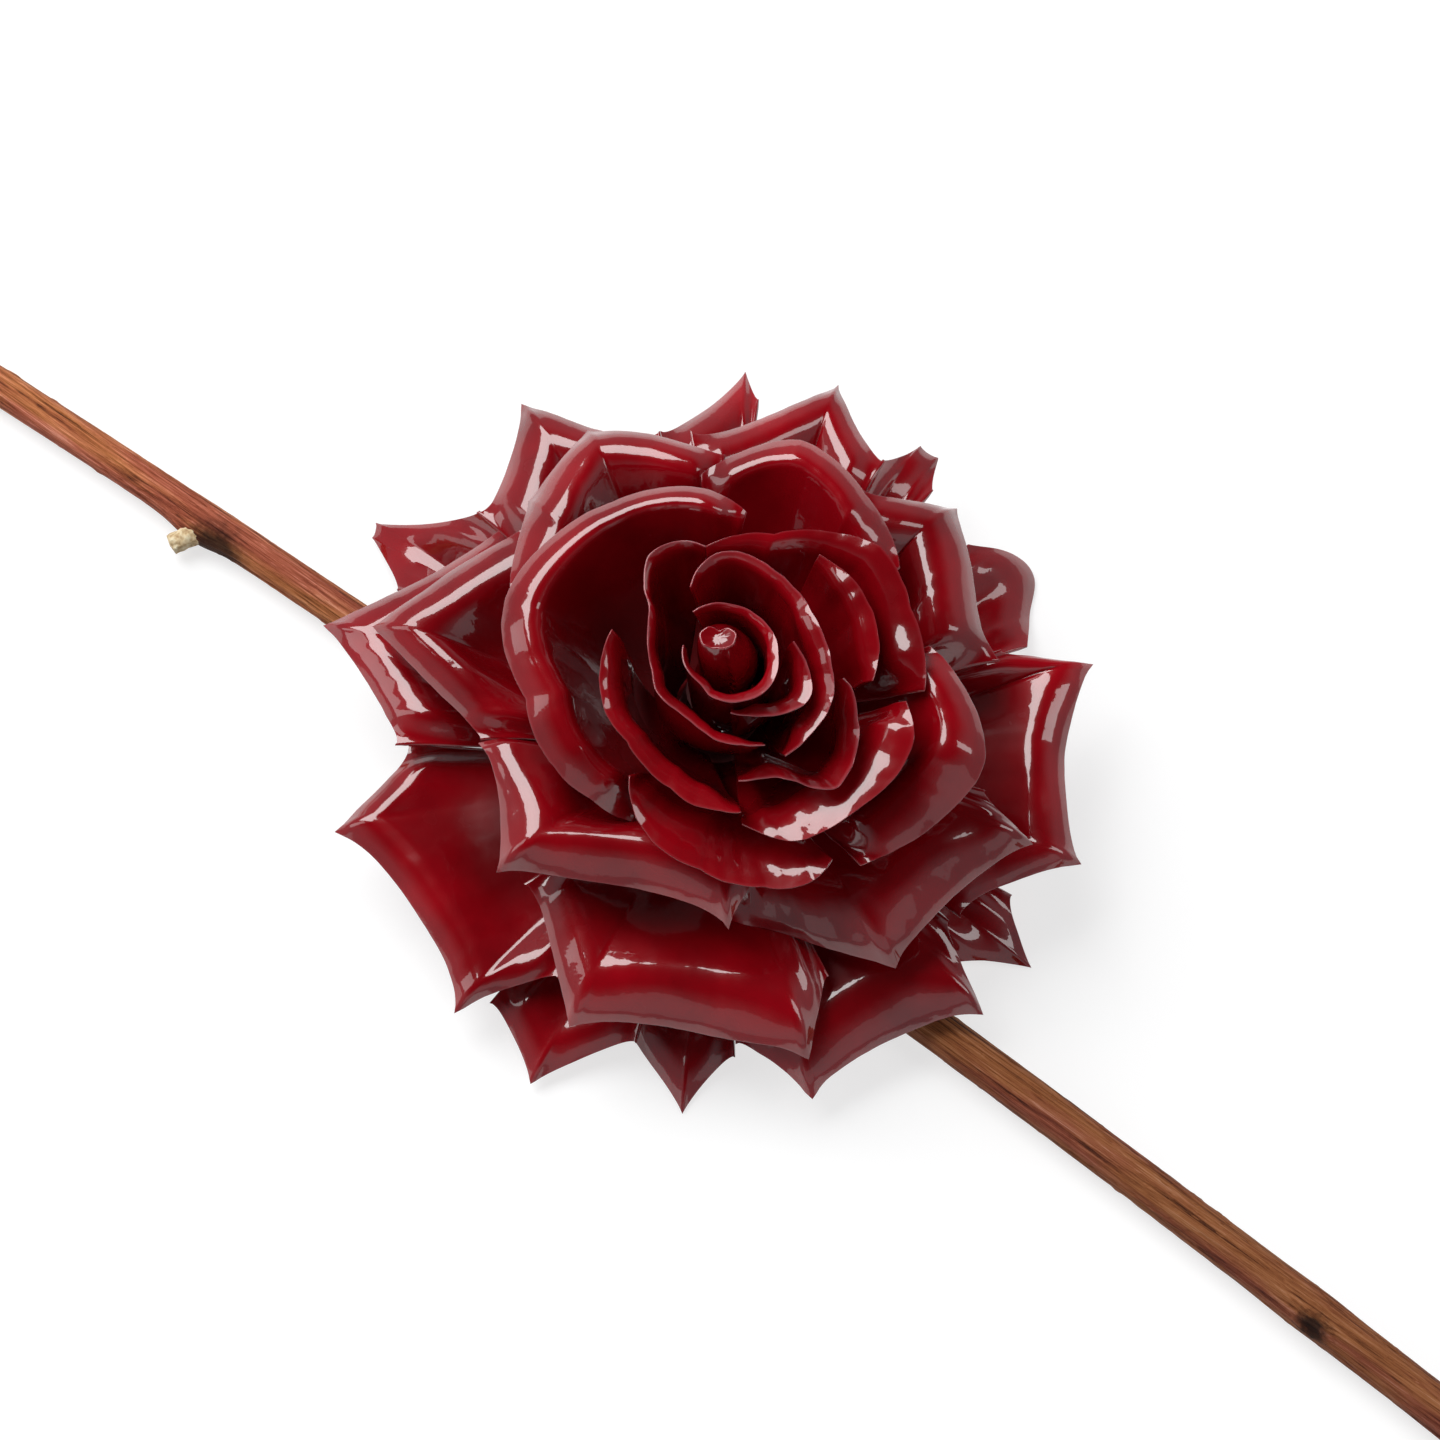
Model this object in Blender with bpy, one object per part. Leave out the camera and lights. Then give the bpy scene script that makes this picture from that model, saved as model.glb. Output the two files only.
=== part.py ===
"""Crepe paper rose, dipped in dark red wax and bound to a natural twig, lying as it comes to rest.

World units are metres, +Z is up. The twig runs along X and the axis of the bloom is Z until the last step,
which centres the whole on X = Y = 0 with its lowest point at Z = 0.
"""
import math

import bmesh
import bpy
import numpy as np
from mathutils import Matrix

MM = 0.001

# paper and wax
PETAL_THICKNESS = 0.5 * MM
JOIN_GAP = 0.3 * MM
CLAW_CLEARANCE = 0.25 * MM

# paper core that the petals are glued to
CORE_FOOT_RADIUS = 8.6 * MM
CORE_TOP_RADIUS = 4.2 * MM
CORE_FOOT_HEIGHT = 4.6 * MM
CORE_TOP_HEIGHT = 38.0 * MM
CORE_CHAMFER_HEIGHT = 1.2 * MM
CORE_CHAMFER_SHARE = 0.82

# closed bud in the middle of the bloom, which leans to one side halfway up
HEART_FOOT_RADIUS = 3.4 * MM
HEART_RADIUS = 3.9 * MM
HEART_TIP_RADIUS = 1.9 * MM
HEART_TIP_HEIGHT = 60.0 * MM
HEART_LEAN = 1.4 * MM
HEART_LEAN_AZIMUTH = 44

# twig
TWIG_THIN_RADIUS = 2.45 * MM
TWIG_THICK_RADIUS = 3.1 * MM
TWIG_THIN_END = -125.0 * MM
TWIG_THICK_END = 152.0 * MM
TWIG_OFFSET = 11.6 * MM
TWIG_BOW = 3.6 * MM
TWIG_LIFT = 0.5 * MM
STUB_PLACE = -77.5 * MM
STUB_REACH = 5.1 * MM
STUB_ROOT_RADIUS = 2.2 * MM
STUB_CUT_RADIUS = 1.3 * MM
STUB_ANGLE = 47
KNOT_PLACE = 108.0 * MM
KNOT_SWELL = 0.45 * MM
KNOT_LENGTH = 5.0 * MM

# wire that holds the core, and the tape that binds it to the twig
WIRE_RADIUS = 0.6 * MM
WIRE_IN_CORE = 14.0 * MM
WIRE_ALONG_TWIG = 17.0 * MM
WIRE_HEIGHT = 1.7 * MM
WIRE_BEND = 2.0 * MM
TAPE_THICKNESS = 0.45 * MM
TAPE_WIDTH = 9.0 * MM
TAPE_PLACE = 11.0 * MM
TAPE_TABLE_GAP = 0.15 * MM

# Each whorl: place of its glued foot up the core, as a share of the core's height, how much the rolled margin
# falls per width, how far it leans outward instead of down (degrees), and the rise of the sheet where it
# leaves the core and where it meets the margin (degrees).
WHORLS = {
    "outer": (0.024, 1.0, 0, 6, 0),
    "sixth": (0.138, 1.2, 0, 12, 16),
    "fifth": (0.263, 1.3, 0, 10, 32),
    "fourth": (0.389, 1.45, 5, 10, 44),
    "third": (0.521, 1.8, 20, 20, 58),
    "second": (0.656, 1.3, 35, 35, 68),
    "inner": (0.775, 1.0, 50, 50, 78),
    "heart": (0.880, 1.0, 50, 65, 84),
}

# Each petal: lift of its foot above its whorl's (mm), sag of its edge between corners as a share of their
# distance (ROUND for an edge without corners), then the points of the rolled edge, counter-clockwise, as
# azimuth (degrees), reach from the bloom's axis, height above the table and width of the margin (mm).
ROUND = None
PETALS = {
    "outer_front_left": (3.8, 0.14, [(-96, 45.4, 5, 2.5), (-83, 50.6, 2, 2.8), (-69, 40.8, 6, 2.5)]),
    "outer_front": (2.4, 0.16, [(-74, 38.3, 0.5, 2.5), (-59, 47.8, 0.5, 2.5), (-50, 40.5, 3, 2.5)]),
    "outer_front_right": (0.0, 0.14, [(-5, 41.9, 4, 4), (4, 50.4, 0.5, 4), (12, 43.8, 5, 3)]),
    "outer_right": (0.0, ROUND, [(59, 45.8, 4, 3), (65, 48.8, 1, 3.5), (70, 52.3, 0.5, 3.5),
        (74, 51.2, 3, 3.5), (79, 46.1, 8, 3)]),
    "outer_back_right": (0.0, 0.12, [(88, 47.0, 14, 3), (91, 51.6, 12, 3), (94, 51.4, 13, 3),
        (97, 45.7, 18, 3)]),
    "outer_back": (0.0, 0.14, [(120, 48.3, 19, 4), (123, 52.9, 17, 4), (137, 43.5, 21, 4)]),
    "outer_left": (0.0, 0.12, [(171, 47.0, 14, 4), (179, 60.0, 1, 3.5), (181, 59.1, 1, 3.5),
        (187, 50.7, 6, 3.5)]),
    "sixth_left": (2.4, 0.14, [(170, 42.1, 19, 3.5), (199, 56.2, 15, 4), (218, 43.4, 17, 4)]),
    "sixth_front_left": (1.2, 0.17, [(215, 42.1, 12, 2.8), (229, 52.5, 12, 3), (262, 50.3, 9, 3.2),
        (273, 38.5, 12, 4)]),
    "sixth_front_right": (1.2, 0.16, [(-50, 40.1, 8, 4), (-38, 48.5, 7, 5), (-9, 50.6, 10, 6),
        (-2, 39.6, 15, 4)]),
    "sixth_right": (0.4, 0.17, [(-1, 40.8, 17, 5.5), (18, 51.3, 15, 4.5), (49, 51.8, 17, 3.5),
        (54, 39.8, 20, 5.5)]),
    "sixth_back_right": (0.0, 0.14, [(95, 42.8, 26, 3.5), (108, 51.4, 24, 3.5), (132, 39.7, 30, 4)]),
    "sixth_back_left": (3.4, 0.16, [(138, 40.6, 29, 5), (157, 52.8, 24, 5), (174, 44.3, 24, 6)]),
    "fifth_left": (0.8, 0.1, [(170, 37.1, 28.5, 5), (200, 48.0, 24, 5), (221, 31.8, 24, 8.5)]),
    "fifth_right": (0.0, 0.1, [(49, 38.6, 26, 6.5), (79, 43.4, 28, 5.5), (94, 35.4, 34, 3.5)]),
    "fifth_back": (2.2, 0.05, [(125, 33.7, 36, 3), (151, 42.1, 34, 4), (169, 38.1, 34, 8),
        (189, 31.3, 34, 9)]),
    "fifth_front": (0.6, 0.14, [(-104, 33.4, 20, 3.5), (-80, 43.9, 16, 4.5), (-38, 45.2, 14.5, 5.5),
        (-29, 35.9, 16, 5)]),
    "fourth_front_left": (0.0, 0.17, [(-116, 17.7, 25, 4), (-136, 31.8, 29, 3.5), (-107, 36.3, 28, 5),
        (-51, 29.5, 27, 8), (-40, 24.2, 30, 6)]),
    "fourth_front_right": (0.0, 0.16, [(-50, 27.0, 18, 5), (-17, 39.9, 20, 6), (15, 45.0, 24, 6),
        (20, 36.9, 28, 4)]),
    "third_left": (0.0, -0.04, [(117, 22.7, 45, 2.5), (130, 25.7, 46, 2.8), (156, 28.2, 44, 2.8),
        (193, 30.1, 40, 3.5), (220, 25.0, 38, 4), (242, 23.6, 37, 4), (257, 21.7, 34.5, 4),
        (272, 18.6, 29, 3)]),
    "third_back": (0.0, -0.05, [(73, 30.0, 36, 3.5), (90, 33.2, 40, 3.5), (109, 35.7, 41, 3),
        (131, 29.9, 39, 3)]),
    "third_right": (0.0, ROUND, [(-14, 29.4, 34, 4), (5, 33.4, 35, 5), (18, 36.2, 38, 5),
        (26, 35.6, 39, 4.5), (38, 31.8, 40, 4), (48, 28.4, 40, 3)]),
    "second_back": (0.0, -0.03, [(33, 27.1, 43, 4), (56, 26.9, 45, 3), (75, 27.1, 47, 3),
        (105, 20.0, 47, 2.5), (132, 16.9, 47, 1.5)]),
    "second_right": (2.4, ROUND, [(33, 20.2, 46, 1.5), (49, 21.5, 47, 2), (67, 21.5, 48, 2),
        (86, 20.4, 48, 1.5)]),
    "second_front_right": (1.4, ROUND, [(-44, 19.3, 40, 2), (-29, 23.5, 41, 3), (-17, 24.9, 42, 3.5),
        (-4, 25.9, 43, 3.5), (11, 27.2, 44, 3.5), (20, 26.6, 45, 3), (28, 24.8, 45, 2)]),
    "second_front": (0.0, -0.06, [(-96, 17.2, 41, 3), (-81, 21.1, 39, 4), (-58, 24.5, 37, 5),
        (-40, 27.2, 36, 5), (-27, 28.4, 36, 5), (-20, 27.4, 37, 4)]),
    "second_left": (2.4, -0.04, [(199, 14.4, 50, 2.5), (226, 15.5, 48, 3.5), (257, 15.5, 46, 3.5),
        (284, 16.8, 45, 3), (307, 18.3, 44, 2.5), (316, 18.8, 44, 2)]),
    "inner_front_right": (0.0, ROUND, [(-43, 14.8, 45, 1.5), (-25, 16.2, 46, 2), (-15, 20.5, 46, 2),
        (-9, 22.0, 46, 2), (0, 21.5, 47, 2), (12, 20.0, 48, 2), (25, 17.8, 49, 2), (30, 16.4, 49, 1.5)]),
    "inner_left": (0.9, ROUND, [(133, 14.8, 53, 1.5), (146, 16.4, 53, 1.5), (160, 16.0, 53, 1.5),
        (173, 13.4, 53, 1.5), (187, 10.6, 53, 1.5), (225, 8.9, 52, 2), (248, 9.1, 52, 2),
        (275, 9.1, 52, 2), (304, 10.9, 52, 1.5), (334, 13.2, 52, 1.5)]),
    "inner_right": (2.0, ROUND, [(-20, 15.9, 51, 1.5), (-5, 15.9, 51, 2), (13, 15.9, 52, 2),
        (33, 14.9, 53, 2), (53, 13.5, 54, 2), (76, 13.2, 54, 1.5), (96, 12.9, 55, 1.5),
        (122, 13.2, 55, 1.5), (137, 11.8, 55, 1.5), (149, 9.2, 55, 1.2)]),
    "heart_outer": (0.0, ROUND, [(-42, 8.4, 54, 1.2), (-17, 10.9, 54, 1.8), (5, 13.3, 54, 1.8),
        (20, 12.7, 54, 1.6), (43, 9.8, 55, 1.2)]),
    "heart_inner": (2.4, ROUND, [(-142, 4.5, 57, 1), (-81, 5.8, 57, 1), (-57, 7.2, 57, 1),
        (-31, 8.5, 57, 1), (-3, 9.0, 57, 1), (28, 8.0, 57, 1), (60, 7.0, 57, 1), (96, 6.3, 57, 1),
        (122, 5.9, 57, 1), (163, 5.5, 57, 1)]),
}

# sheet of one petal
CLAW_ANGLE = 50
CLAW_SHARE = 0.62
RISE_HOLD = 0.38
MARGIN_BEND = 0.7
MARGIN_SHOULDER = 1.3
TUCK_LENGTH = 5.0 * MM
TUCK_SHARE = 0.3

# counts of the petal's grid
SHEET_ROW_COUNT = 4
MARGIN_ROW_COUNT = 3
COLUMN_COUNT = 8


def core_radius(height):
    """Radius of the paper core at a height."""
    share = (height - CORE_FOOT_HEIGHT) / (CORE_TOP_HEIGHT - CORE_FOOT_HEIGHT)
    share = min(max(share, 0.0), 1.0)
    return CORE_FOOT_RADIUS + (CORE_TOP_RADIUS - CORE_FOOT_RADIUS) * share


def edge_curve(corners, sag):
    """Edge of a petal as points (azimuth, reach, height, margin width), sagging inward or rounded off."""
    pts = np.array(corners, dtype=float)
    chord = np.hypot(np.radians(np.diff(pts[:, 0])) * pts[:-1, 1], np.diff(pts[:, 1]))
    counts = np.maximum(1, np.round(COLUMN_COUNT * chord / chord.sum()).astype(int))
    while counts.sum() > COLUMN_COUNT and counts.max() > 1:
        counts[np.argmax(counts)] -= 1
    while counts.sum() < COLUMN_COUNT:
        counts[np.argmax(chord / counts)] += 1
    curve = []
    for i in range(len(pts) - 1):
        enter = 0.5 * (pts[i + 1] - pts[max(i - 1, 0)])
        leave = 0.5 * (pts[min(i + 2, len(pts) - 1)] - pts[i])
        for k in range(counts[i]):
            s = k / counts[i]
            if sag is ROUND:
                point = ((2 * s ** 3 - 3 * s ** 2 + 1) * pts[i] + (s ** 3 - 2 * s ** 2 + s) * enter
                         + (3 * s ** 2 - 2 * s ** 3) * pts[i + 1] + (s ** 3 - s ** 2) * leave)
            else:
                point = pts[i] * (1 - s) + pts[i + 1] * s
                point[1] -= sag * chord[i] * 4 * s * (1 - s)
            curve.append(point)
    curve.append(pts[-1])
    return np.array(curve)


def margin_widths(edge):
    """Width of the rolled margin along the edge, and its share that is left towards the tucked ends."""
    step = np.hypot(np.radians(np.diff(edge[:, 0])) * edge[:-1, 1], np.diff(edge[:, 1])) * MM
    place = np.concatenate([[0.0], np.cumsum(step)])
    to_end = np.clip(np.minimum(place, place[-1] - place) / TUCK_LENGTH, 0, 1)
    left = TUCK_SHARE + (1 - TUCK_SHARE) * to_end * to_end * (3 - 2 * to_end)
    return edge[:, 3] * MM, left


def petal_sheet(name):
    """Middle surface of a petal as a grid of points, from its glued foot to its rolled edge."""
    lift, sag, corners = PETALS[name]
    place, slope, lean, rise_foot, rise_rim = WHORLS[name.split("_")[0]]
    foot = CORE_FOOT_HEIGHT + place * (CORE_TOP_HEIGHT - CORE_FOOT_HEIGHT) + lift * MM
    lean = math.radians(lean)
    edge = edge_curve(corners, sag)
    width, left = margin_widths(edge)
    roll = slope * width * left
    azimuth = np.radians(edge[:, 0])
    reach = edge[:, 1] * MM - roll * math.sin(lean)
    height = edge[:, 2] * MM + roll * math.cos(lean)
    # claw on the core and upper end of the sheet
    seat = core_radius(foot) + JOIN_GAP + 0.5 * PETAL_THICKNESS + CLAW_CLEARANCE
    middle = 0.5 * (azimuth[0] + azimuth[-1])
    span = azimuth[-1] - azimuth[0]
    claw = max(min(span, math.radians(CLAW_ANGLE)), CLAW_SHARE * span)
    seat_azimuth = middle + claw * (azimuth - middle) / span
    start = np.stack([seat * np.cos(seat_azimuth), seat * np.sin(seat_azimuth), np.full(len(edge), foot)], 1)
    end = np.stack([reach * np.cos(azimuth), reach * np.sin(azimuth), height], 1)
    flat = end[:, :2] - start[:, :2]
    along = np.zeros_like(end)
    along[:, :2] = flat / np.linalg.norm(flat, axis=1)[:, None]
    chord = np.linalg.norm(end - start, axis=1)
    up = np.array([0.0, 0.0, 1.0])
    leave_core = math.radians(rise_foot)
    meet_margin = math.radians(rise_rim)
    hold = RISE_HOLD * chord[:, None]
    first = start + hold * (along * math.cos(leave_core) + up * math.sin(leave_core))
    last = end - hold * (along * math.cos(meet_margin) + up * math.sin(meet_margin))
    # rows, closer together on the margin
    turns = np.radians(np.linspace(0, 90, MARGIN_ROW_COUNT + 1))
    share = MARGIN_SHOULDER * width.mean() / chord.mean()
    rows = [(1 - share) * k / SHEET_ROW_COUNT for k in range(SHEET_ROW_COUNT)]
    rows += [1 - share * (1 - math.sin(turn)) for turn in turns]
    t = np.array(rows)[:, None, None]
    grid = (1 - t) ** 3 * start + 3 * t * (1 - t) ** 2 * first + 3 * t * t * (1 - t) * last + t ** 3 * end
    # distance from the edge, then the rounded fall of the margin
    a = end[:-1]
    b = end[1:]
    ab = b - a
    rel = grid[:, :, None, :] - a
    s = np.clip((rel * ab).sum(-1) / (ab * ab).sum(-1), 0, 1)
    away = np.linalg.norm(rel - s[..., None] * ab, axis=-1).min(-1)
    inside = np.clip(1 - away / (MARGIN_SHOULDER * width), 0, 1)
    full = math.sqrt(1 + MARGIN_BEND ** 2) - MARGIN_BEND
    fall = roll * (np.sqrt(inside ** 2 + MARGIN_BEND ** 2) - MARGIN_BEND) / full
    down = np.stack([math.sin(lean) * np.cos(azimuth), math.sin(lean) * np.sin(azimuth),
                     np.full(len(edge), -math.cos(lean))], 1)
    return grid + fall[..., None] * down[None]


def grid_normals(grid):
    """Unit normal at each point of a grid."""
    across = np.gradient(grid, axis=1)
    out = np.gradient(grid, axis=0)
    normal = np.cross(out, across)
    return normal / np.linalg.norm(normal, axis=-1, keepdims=True)


def thick_sheet(grid, thickness):
    """Closed solid of a thin sheet, as points and faces."""
    rows, cols = grid.shape[:2]
    normal = grid_normals(grid)
    top = grid + normal * thickness / 2
    bottom = grid - normal * thickness / 2
    points = np.concatenate([top.reshape(-1, 3), bottom.reshape(-1, 3)])
    count = rows * cols
    faces = []
    for i in range(rows - 1):
        for j in range(cols - 1):
            p = i * cols + j
            faces.append((p, p + cols, p + cols + 1, p + 1))
            faces.append((count + p, count + p + 1, count + p + cols + 1, count + p + cols))
    rim = [j for j in range(cols)]
    rim += [i * cols + cols - 1 for i in range(1, rows)]
    rim += [(rows - 1) * cols + j for j in range(cols - 2, -1, -1)]
    rim += [i * cols for i in range(rows - 2, 0, -1)]
    for k, p in enumerate(rim):
        q = rim[(k + 1) % len(rim)]
        faces.append((p, q, count + q, count + p))
    return points, faces


def tube(path, radii, sides, squash=None):
    """Closed solid swept along a path, as points and faces."""
    path = np.array(path, dtype=float)
    radii = np.broadcast_to(np.array(radii, dtype=float), (len(path),))
    tangent = np.gradient(path, axis=0)
    tangent /= np.linalg.norm(tangent, axis=1, keepdims=True)
    side = np.cross(tangent[0], [0.0, 0.0, 1.0])
    if np.linalg.norm(side) < 0.1:
        side = np.array([0.0, 1.0, 0.0])
    points = []
    for k in range(len(path)):
        side = side - tangent[k] * np.dot(side, tangent[k])
        side /= np.linalg.norm(side)
        other = np.cross(side, tangent[k])
        for j in range(sides):
            turn = 2 * math.pi * j / sides
            swell = 1.0 if squash is None else squash(path[k], turn)
            points.append(path[k] + radii[k] * swell * (side * math.cos(turn) + other * math.sin(turn)))
    faces = []
    for k in range(len(path) - 1):
        for j in range(sides):
            p = k * sides + j
            q = k * sides + (j + 1) % sides
            faces.append((p, q, q + sides, p + sides))
    faces.append(tuple(range(sides - 1, -1, -1)))
    last = (len(path) - 1) * sides
    faces.append(tuple(range(last, last + sides)))
    return np.array(points), faces


def knot_swell(x):
    """How much the knot thickens the twig."""
    return KNOT_SWELL * math.exp(-((x - KNOT_PLACE) / KNOT_LENGTH) ** 2)


def twig_radius(x):
    """Radius of the twig, thicker towards its base."""
    share = (x - TWIG_THIN_END) / (TWIG_THICK_END - TWIG_THIN_END)
    return TWIG_THIN_RADIUS + (TWIG_THICK_RADIUS - TWIG_THIN_RADIUS) * share + knot_swell(x)


def twig_centre(x):
    """Centre line of the twig: bowed sideways, and lifted a little between its ends."""
    half = 0.5 * (TWIG_THICK_END - TWIG_THIN_END)
    middle = 0.5 * (TWIG_THICK_END + TWIG_THIN_END)
    s = (x - middle) / half
    plain_radius = twig_radius(x) - knot_swell(x)
    return np.array([x, -TWIG_OFFSET - TWIG_BOW * s * s, plain_radius + TWIG_LIFT * (1 - s * s)])


def make(name, points, faces, material, smooth=True):
    """Mesh object with its faces turned outward."""
    mesh = bpy.data.meshes.new(name)
    mesh.from_pydata([tuple(p) for p in points], [], faces)
    mesh.validate()
    shape = bmesh.new()
    shape.from_mesh(mesh)
    bmesh.ops.recalc_face_normals(shape, faces=shape.faces)
    shape.to_mesh(mesh)
    shape.free()
    mesh.materials.append(material)
    for face in mesh.polygons:
        face.use_smooth = smooth
    obj = bpy.data.objects.new(name, mesh)
    bpy.context.scene.collection.objects.link(obj)
    return obj


def coat(name, colour, roughness):
    """Plain Principled material."""
    material = bpy.data.materials.new(name)
    material.use_nodes = True
    shader = material.node_tree.nodes["Principled BSDF"]
    shader.inputs["Base Color"].default_value = (*colour, 1.0)
    shader.inputs["Roughness"].default_value = roughness
    return material


def combine(target, tool, operation):
    """Joins a second solid to the first one, or cuts it out, and discards the second."""
    mod = target.modifiers.new(operation.lower(), "BOOLEAN")
    mod.operation = operation
    mod.solver = "EXACT"
    mod.object = tool
    bpy.context.view_layer.update()
    shape = bmesh.new()
    shape.from_object(target, bpy.context.evaluated_depsgraph_get())
    target.modifiers.remove(mod)
    shape.to_mesh(target.data)
    shape.free()
    bpy.data.objects.remove(tool)


def build_twig():
    wood = coat("twig bark", (0.36, 0.17, 0.08), 0.6)
    stations = np.linspace(TWIG_THIN_END, TWIG_THICK_END, 30)
    path = [twig_centre(x) for x in stations]
    radii = [twig_radius(x) for x in stations]
    twig = make("twig", *tube(path, radii, 12), wood)
    root = twig_centre(STUB_PLACE)
    angle = math.radians(STUB_ANGLE)
    lean = np.array([-math.cos(angle), -math.sin(angle), 0.0])
    stub = make("stub", *tube([root, root + lean * STUB_REACH * 0.7, root + lean * STUB_REACH],
                              [STUB_ROOT_RADIUS, STUB_CUT_RADIUS * 1.15, STUB_CUT_RADIUS], 10), wood)
    combine(twig, stub, "UNION")
    return twig


def build_core():
    paper = coat("core paper", (0.16, 0.004, 0.006), 0.6)
    outline = [(CORE_FOOT_HEIGHT, CORE_CHAMFER_SHARE), (CORE_FOOT_HEIGHT + CORE_CHAMFER_HEIGHT, 1.0),
               (CORE_TOP_HEIGHT, 1.0)]
    path = [(0, 0, z) for z, _ in outline]
    radii = [core_radius(z) * share for z, share in outline]
    core = make("core", *tube(path, radii, 20), paper)
    bore = [(0, 0, CORE_FOOT_HEIGHT - 1 * MM), (0, 0, CORE_FOOT_HEIGHT + WIRE_IN_CORE + JOIN_GAP)]
    tool = make("bore", *tube(bore, WIRE_RADIUS + JOIN_GAP, 10), paper)
    combine(core, tool, "DIFFERENCE")
    return core


def heart_radius(share):
    """Radius of the bud at a share of its height: full in the middle, narrow at the tip."""
    if share < 0.5:
        return HEART_FOOT_RADIUS + (HEART_RADIUS - HEART_FOOT_RADIUS) * math.sin(math.pi * share)
    return HEART_RADIUS - (HEART_RADIUS - HEART_TIP_RADIUS) * (2 * share - 1) ** 2


def build_heart():
    wax = coat("heart wax", (0.2, 0.004, 0.006), 0.2)
    base = CORE_TOP_HEIGHT + JOIN_GAP
    rise = HEART_TIP_HEIGHT - base
    aside = math.radians(HEART_LEAN_AZIMUTH)
    shares = (0.0, 0.15, 0.32, 0.5, 0.68, 0.84, 0.95, 1.0)
    path = []
    for share in shares:
        lean = HEART_LEAN * math.sin(math.pi * share) ** 2
        path.append((lean * math.cos(aside), lean * math.sin(aside), base + rise * share))

    def folded_tip(centre, turn):
        top = max(0.0, ((centre[2] - base) / rise - 0.8) / 0.2)
        return 1 + top * top * 0.25 * math.cos(2 * turn)

    return make("heart", *tube(path, [heart_radius(share) for share in shares], 12, folded_tip), wax)


def wire_path():
    """Out of the core's foot, across to the twig and along its flank."""
    twig = twig_centre(TAPE_PLACE)
    flank = twig[1] + twig_radius(TAPE_PLACE) + JOIN_GAP + WIRE_RADIUS
    bend = WIRE_BEND
    pts = [(0, 0, CORE_FOOT_HEIGHT + WIRE_IN_CORE), (0, 0, WIRE_HEIGHT + bend)]
    for turn in (30, 60, 90):
        a = math.radians(turn)
        pts.append((0, -bend * (1 - math.cos(a)), WIRE_HEIGHT + bend * (1 - math.sin(a))))
    pts.append((0, flank + bend, WIRE_HEIGHT))
    for turn in (30, 60, 90):
        a = math.radians(turn)
        pts.append((bend * (1 - math.cos(a)), flank + bend * (1 - math.sin(a)), WIRE_HEIGHT))
    for x in np.linspace(2 * bend, WIRE_ALONG_TWIG, 4):
        near = twig_centre(x)
        pts.append((x, near[1] + twig_radius(x) + JOIN_GAP + WIRE_RADIUS, WIRE_HEIGHT))
    return pts


def build_tape():
    cloth = coat("floral tape", (0.11, 0.05, 0.03), 0.8)
    x0 = TAPE_PLACE - TAPE_WIDTH / 2
    x1 = TAPE_PLACE + TAPE_WIDTH / 2
    loops = []
    for x, out in ((x0, 0.0), (x1, 0.0), (x1, TAPE_THICKNESS), (x0, TAPE_THICKNESS)):
        centre = twig_centre(x)
        wide = twig_radius(x) + JOIN_GAP + out
        wire = np.array([centre[1] + twig_radius(x) + JOIN_GAP + WIRE_RADIUS, WIRE_HEIGHT])
        small = WIRE_RADIUS + JOIN_GAP + out
        loop = []
        for k in range(24):
            turn = 2 * math.pi * k / 24
            ray = np.array([math.cos(turn), math.sin(turn)])
            # support of the two circles in this direction gives the taut band around them
            big = centre[1:] + wide * ray
            little = wire + small * ray
            best = big if np.dot(big, ray) >= np.dot(little, ray) else little
            loop.append((x, best[0], max(best[1], TAPE_TABLE_GAP * (1 - out / TAPE_THICKNESS * 0.6))))
        loops.append(loop)
    points = [p for loop in loops for p in loop]
    faces = []
    for a in range(4):
        b = (a + 1) % 4
        for k in range(24):
            m = (k + 1) % 24
            faces.append((a * 24 + k, a * 24 + m, b * 24 + m, b * 24 + k))
    return make("tape", points, faces, cloth)


def centre_on_table():
    """Puts the middle of the overall box on the Z axis and its lowest point on the table."""
    pieces = [obj for obj in bpy.data.objects if obj.type == "MESH"]
    points = np.array([tuple(v.co) for obj in pieces for v in obj.data.vertices])
    low = points.min(axis=0)
    high = points.max(axis=0)
    shift = Matrix.Translation((-0.5 * (low[0] + high[0]), -0.5 * (low[1] + high[1]), -low[2]))
    for obj in pieces:
        obj.data.transform(shift)


def main():
    for obj in list(bpy.data.objects):
        bpy.data.objects.remove(obj, do_unlink=True)
    build_twig()
    build_core()
    build_heart()
    steel = coat("florist wire", (0.05, 0.11, 0.06), 0.4)
    make("wire", *tube(wire_path(), WIRE_RADIUS, 8), steel)
    build_tape()
    for name in PETALS:
        wax = coat(name + " wax", (0.2, 0.004, 0.006), 0.2)
        make("petal_" + name, *thick_sheet(petal_sheet(name), PETAL_THICKNESS), wax)
    centre_on_table()


main()
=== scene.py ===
"""Looks of the crepe paper rose: fine waxed petals, fibrous twig, soft studio light. Metres, +Z up."""

import math

import bpy
import numpy as np
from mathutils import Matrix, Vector, noise


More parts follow.
